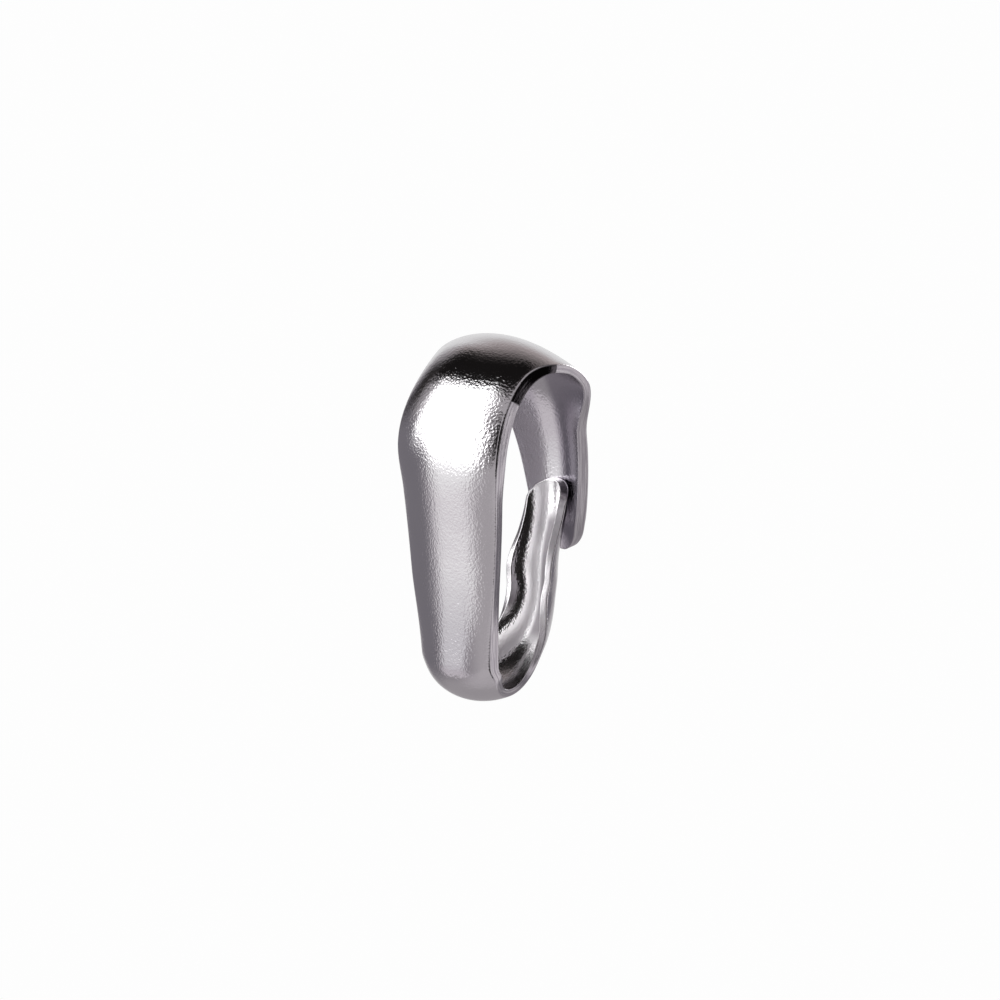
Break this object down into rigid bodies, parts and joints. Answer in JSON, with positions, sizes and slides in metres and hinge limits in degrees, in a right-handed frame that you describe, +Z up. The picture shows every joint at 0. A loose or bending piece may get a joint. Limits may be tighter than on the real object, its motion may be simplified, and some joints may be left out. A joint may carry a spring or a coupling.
{
  "type": "bail finding",
  "caption": "Spring-clip jewellery bail: one polished steel strip with a wide domed front, round arch and a narrow tongue that hooks behind the short back arm.",
  "frame": {"origin": "middle of the bounding box in plan, at the height of the surface the bail lies on", "axes": "+X from the arch to the bottom bend, +Y from the front arm to the back arm, +Z upwards, across the band, as it lies on its left side"},
  "size_m": [0.007, 0.0034, 0.003],
  "materials": {
    "steel": "polished stainless steel with a fine tumbled orange-peel surface"
  },
  "bodies": {
    "root": {"bail_band": "steel"}
  },
  "joints": []
}
